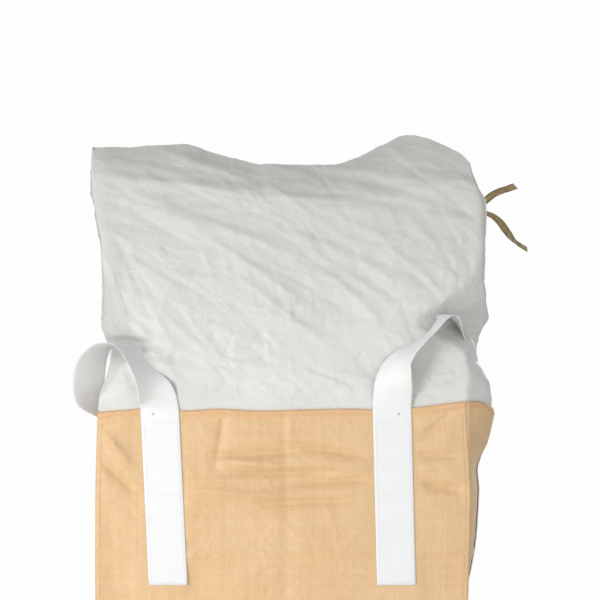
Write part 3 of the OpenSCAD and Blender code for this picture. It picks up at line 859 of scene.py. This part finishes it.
# ---- skirt ----
def make_skirt(material):
    parts = [skirt_grid(side, SKIRT_COLS[side]) for side in range(4)]
    points = np.concatenate([p[0][:, :-1] for p in parts], 1)
    right, back, left = np.cumsum(SKIRT_COLS[:3])
    corners = ((right, 5, BODY_H + 0.34), (back, 8, BODY_H + 0.3), (left, 8, BODY_H + 0.3))
    points = rounded(points, corners)
    relief = np.concatenate([p[2][:, :-1] for p in parts], 1)
    points[..., :2] = held_in(points[..., :2] - relief, points[..., 2]) + relief
    for side, (first, last) in enumerate(zip((0, right, back, left), (right, back, left, None))):
        x = parts[side][1][:, :-1]
        points[:, first:last, 2] = lifted(side, x, points[:, first:last, 2])
    uv = np.concatenate([np.dstack([p[1] + i * PANEL_W, p[0][..., 2]])[:, :-1]
                         for i, p in enumerate(parts)], 1)
    obj = thicken(grid_object("skirt_cloth", points, uv, closed=True), SKIRT_T)
    dress(obj, ["skirt_lower", "skirt_upper"], material, body=None)
    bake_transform(obj)
    return points, uv


def make_hem(points, uv, material):
    """The mouth's edge is folded over: a second layer outside and inside the skirt's top edge."""
    height, rows = 0.034, 8
    band = []
    # The lowest rows lie close together, so that the lower edge looks crisp.
    for share in (1, 0.99, 0.98, *np.linspace(1, 0, rows - 1)[1:]):
        level = points[-1, :, 2] - height * share
        band.append([[np.interp(level[j], points[:, j, 2], points[:, j, axis]) for axis in range(3)]
                     for j in range(points.shape[1])])
    band = np.array(band)
    run = np.roll(band, -1, 1) - np.roll(band, 1, 1)
    out = unit(np.dstack([run[..., 1], -run[..., 0], 0 * run[..., 0]]))
    rise = np.array([-0.0003] + [0.0004] * rows)
    outer = band + out * rise[:, None, None]
    inner = band[::-1] - out[::-1] * 0.0015
    edge = band[-1:] + [[[0, 0, 0.0006]]]
    fold = np.concatenate([outer, edge, inner], 0)
    fold_uv = np.dstack([np.broadcast_to(uv[-1, :, 0], fold.shape[:2]), fold[..., 2]])
    obj = thicken(grid_object("mouth_hem_cloth", fold, fold_uv, closed=True), 0.0004, 0.0)
    dress(obj, ["mouth_hem"], material, "skirt_top")


# ---- stitches ----
STITCH_L, STITCH_W, STITCH_H = 0.0058, 0.0013, 0.0009
STITCH = np.array([(x * long, y * wide, high) for long, wide, high in ((1, 1, 0), (0.55, 0.6, 1))
                   for x, y in ((-1, -1), (1, -1), (1, 1), (-1, 1))])
STITCH_FACES = [(0, 3, 2, 1), (4, 5, 6, 7), (0, 1, 5, 4), (1, 2, 6, 5), (2, 3, 7, 6), (3, 0, 4, 7)]


def sew(name, node, places, thread):
    """Short raised stitches: each place is (centre, direction along the row, outward normal)."""
    verts, faces = [], []
    for centre, along, normal in places:
        axes = np.array([along * STITCH_L / 2, np.cross(normal, along) * STITCH_W / 2, normal * STITCH_H])
        faces += [tuple(len(verts) + i for i in face) for face in STITCH_FACES]
        verts += list(centre + STITCH @ axes)
    dress(mesh_object(name, verts, faces), [node], thread)


def run_along(path):
    """How far along a path each of its points lies."""
    return np.concatenate([[0], np.cumsum(np.linalg.norm(np.diff(path, axis=0), axis=1))])


def along_path(path, normals, pitch=0.0085):
    """Stitch places at an even pitch along a row of points."""
    run = run_along(path)

    def at(s, values):
        return np.array([np.interp(s, run, values[:, i]) for i in range(3)])

    places = []
    for s in np.arange(pitch / 2, run[-1], pitch):
        direction = unit(at(min(s + 0.002, run[-1]), path) - at(max(s - 0.002, 0), path))
        out = unit(at(s, normals))
        places.append((at(s, path), direction, unit(out - direction * (out @ direction))))
    return places


# ---- loops ----
ACROSS = 26               # cells across the webbing
LEG_ROWS, FREE_ROWS = 44, 96
STITCH_ROWS = (0.03, 0.126, 0.222, 0.318, 0.414, 0.440)    # below the seam, across each leg


def leg_points(c, on_face, z, s):
    """Centre surface of a sewn leg: z up its length, s across it."""
    g, d = LOOP_AT[c], half_d(z)
    if on_face:
        x = g["face"][0] + SIDE_X[c] * s + LEG_LEAN[c] * (BODY_H - z)
        side = face_side(c)
        shift = lifted(side, x * (1 if side == 0 else -1), z)
        return np.stack([x, SIDE_Y[c] * (d + STRAP_T) + 0 * s, shift], -1)
    y = g["side"][1] + SIDE_Y[c] * s
    u = (y + d) / (2 * d)
    e = 0.01
    slope = (side_out(SIDE_X[c], u + e, z) - side_out(SIDE_X[c], u - e, z)) / (4 * e * d)
    normal = unit(np.stack([SIDE_X[c] + 0 * s, -slope, 0 * s], -1))
    x = SIDE_X[c] * (half_w(SIDE_X[c], z) + side_out(SIDE_X[c], u, z))
    side = flank_side(c)
    shift = lifted(side, (u - 0.5) * PANEL_W * (1 if side == 1 else -1), z)
    return np.stack([x, y + 0 * z, shift], -1) + normal * STRAP_T


def strap_surface(c):
    """Middle surface of a whole loop, from the foot of one leg to the foot of the other."""
    s = np.linspace(-STRAP_W / 2, STRAP_W / 2, ACROSS + 1)
    legs = []
    # A free loop may leave its side leg below the skirt seam.
    for on_face, top in ((True, BODY_H), (False, BODY_H + min(0, LOOP_STOPS[c][-1][2] / 1000))):
        zz, ss = np.meshgrid(np.linspace(BODY_H - SEWN, top, LEG_ROWS), s, indexing="ij")
        legs.append(leg_points(c, on_face, zz, ss))
    middle, turn = route(c, FREE_ROWS)
    run = unit(np.gradient(middle, axis=0))
    w = np.stack([SIDE_X[c] * np.cos(turn), SIDE_Y[c] * np.sin(turn), 0 * turn], -1)
    w = unit(w - run * np.sum(w * run, 1, keepdims=True))
    far = np.linspace(0, 1, len(middle))
    crown = np.sin(np.pi * far) ** 2
    w[:, 2] *= 1 - 0.6 * crown
    w[:, :2] -= (SLANT[c] * crown)[:, None] * run[:, :2]
    w = unit(w)
    out = unit(np.cross(run, w))
    cup, wave = 0.004 * crown, 0.0016 * np.sin(11 * far + c)
    rise = cup[:, None] * ((2 * s / STRAP_W) ** 2 - 0.4) + wave[:, None] * (s / STRAP_W)
    free = middle[:, None] + w[:, None] * s[None, :, None] + out[:, None] * rise[..., None]
    # Near each end the free loop takes the shape of the leg it grows from.
    for leg, end, away in ((legs[0], 0, far), (legs[1], -1, 1 - far)):
        free = free + (1 - smooth(away / 0.14))[:, None, None] * (leg[-1] - free[end])
    return np.concatenate([legs[0], free[1:-1], legs[1][::-1]], 0)


def make_loop(c, material, thread):
    name = LOOPS[c]
    middle = strap_surface(c)
    normal = unit(np.cross(np.gradient(middle, axis=0), np.gradient(middle, axis=1)))
    normal *= np.sign(normal[0, ACROSS // 2, 1] * SIDE_Y[c])    # so that the legs' normals point outwards
    # The webbing's edges are rounded.
    s = np.linspace(-1, 1, ACROSS + 1)
    half = STRAP_T / 2 * np.sqrt(np.clip(1 - np.abs(s) ** 14, 0.05, 1))
    run = run_along(middle[:, ACROSS // 2])
    obj = strap_object(name + "_lifting_loop", middle, normal, half[None, :, None], STRAP_W, run)
    nodes = [name + "_loop_" + part for part in ("legs", "bends", "arch")]
    dress(obj, nodes, material, body=None)
    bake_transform(obj)
    places = []
    outside = middle + normal * STRAP_T / 2
    for rows in (slice(0, LEG_ROWS), slice(-1, -LEG_ROWS - 1, -1)):
        leg, out = outside[rows], normal[rows]
        for col in (2, ACROSS - 2):
            places += along_path(leg[1:-3, col], out[1:-3, col])
        for drop in STITCH_ROWS:
            row = round((1 - drop / SEWN) * (LEG_ROWS - 1))
            places += along_path(leg[row, 2:-2], out[row, 2:-2])
    sew(name + "_loop_stitches", name + "_loop_stitching", places, thread)


# ---- seams ----
SEAM_OFF = 0.0003         # height of the thread above the cloth
STRAP_CLEAR = STRAP_W / 2 + 0.006


def seam_row(side, z):
    """Places of stitches along a level line on a body panel, apart from under the straps."""
    path = body_grid(side, SEAM_OFF)[0][round((z - FOOT_Z) / (BODY_H - FOOT_Z) * ROWS)]
    run = np.gradient(path, axis=0)
    normals = unit(np.column_stack([run[:, 1], -run[:, 0], 0 * run[:, 0]]))
    places = along_path(path, normals)
    if z > BODY_H - SEWN:
        for c, on_face in legs_on(side):
            axis, end = (0, "face") if on_face else (1, "side")
            middle = LOOP_AT[c][end][axis]
            places = [place for place in places if abs(place[0][axis] - middle) >= STRAP_CLEAR]
    return places


def make_seams(thread):
    for node, z in (("skirt_seam", BODY_H - 0.015), ("bottom_seam", 0.014)):
        places = [place for side in range(4) for place in seam_row(side, z)]
        sew(node + "_stitches", node, places, thread)
    for name, side in (("front_corner", 0), ("back_corner", 2)):
        points = body_grid(side, SEAM_OFF)[0]
        places = []
        for col in (2, COLS - 2):
            path = points[4:-4, col]
            places += along_path(path, np.broadcast_to([0.0, side - 1.0, 0.0], path.shape))
        sew(name + "_stitches", name + "_seams", places, thread)


# ---- tie tape ----
TAPE_CELLS = 8            # cells across the tape
TACK_LOW, TACK_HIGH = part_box("tie_bartack")
TIE = np.round([TACK_LOW.x - 0.002, (TACK_LOW.y + TACK_HIGH.y) / 2, (TACK_LOW.z + TACK_HIGH.z) / 2], 4)
# Routes in mm from the tack, and how far the tape is twisted at shares of its length, in radians.
UPPER_TAIL = [(14, -4, 11), (24, -12, 22), (34, -22, 31), (44, -33, 37), (54, -45, 41),
              (64, -57, 45), (74, -69, 48), (84, -81, 52), (94, -93, 55)]
LOWER_TAIL = [(14, 4, -11), (28, 2, -15), (41, -2, -21), (52, -8, -30), (63, -16, -43),
              (74, -25, -60), (86, -35, -77), (100, -46, -92), (116, -57, -104), (128, -66, -112)]
UPPER_TWIST = ((0, 0.5), (0.15, 0.7), (1, 0.75))
LOWER_TWIST = ((0, 0.65), (0.12, 0.68), (0.3, 1.4), (0.45, 1.9), (0.6, 1.5), (0.76, 0.78), (1, 0.78))


def spline(points, count):
    """An even run of points on a smooth curve through given ones, and its length."""
    fine = soft_curve(np.linspace(0, len(points) - 1, 12 * (len(points) - 1) + 1),
                      np.arange(len(points)), points)
    run = run_along(fine)
    at = np.linspace(0, run[-1], count)
    return np.column_stack([np.interp(at, run, fine[:, i]) for i in range(3)]), run[-1]


def make_tail(name, node, stops, twists, material):
    """A flat tape along a route that turns from face on to edge on and back."""
    path, length = spline(np.array(stops) / 1000 + TIE, 60)
    run = unit(np.gradient(path, axis=0))
    side = unit(np.cross(run, [0, 0, 1]))
    up = np.cross(side, run)
    angle = np.interp(np.linspace(0, 1, len(path)), *zip(*twists))[:, None]
    w = side * np.cos(angle) + up * np.sin(angle)
    n = np.cross(run, w)[:, None]
    s = np.linspace(-1, 1, TAPE_CELLS + 1)
    curl = 0.0011 * np.sin(np.linspace(0, 9, len(path)))[:, None] * s ** 2
    centre = path[:, None] + w[:, None] * (s * TAPE_W / 2)[None, :, None] + n * curl[..., None]
    obj = strap_object(name, centre, n, 0.0006, TAPE_W, np.linspace(0, length, len(path)))
    dress(obj, [node], material, "skirt_top")


def make_tie(material):
    make_tail("upper_tie_tape", "upper_tie_tail", UPPER_TAIL, UPPER_TWIST, material)
    make_tail("lower_tie_tape", "lower_tie_tail", LOWER_TAIL, LOWER_TWIST, material)
    # The middle of the tape, folded flat on the skirt and sewn down.
    v, s = np.meshgrid(np.linspace(-1, 1, 15), np.linspace(-1, 1, TAPE_CELLS + 1), indexing="ij")
    bow = 0.003 + 0.011 * np.abs(v) ** 2.5
    centre = TIE + np.stack([bow, s * TAPE_W / 2 - 0.004 * v, v * 0.014], -1)
    obj = strap_object("tie_tape_middle", centre, np.array([1.0, 0, 0]), 0.0007, TAPE_W, v[:, 0] * 0.014)
    dress(obj, ["tie_bartack"], material, "skirt_top")


# ---- the bag ----
make_camera()
make_light()
make_floor()
body_cloth = body_material()
skirt_cloth = skirt_material()
webbing = webbing_material()
loop_thread = thread_material("white_thread", THREAD_WHITE)
seam_thread = thread_material("tan_thread", THREAD_TAN)
tie_tape = tape_material()
make_tie(tie_tape)
make_body(body_cloth)
make_base(body_cloth)
skirt_points, skirt_uv = make_skirt(skirt_cloth)
make_hem(skirt_points, skirt_uv, skirt_cloth)
for corner in range(4):
    make_loop(corner, webbing, loop_thread)
make_seams(seam_thread)
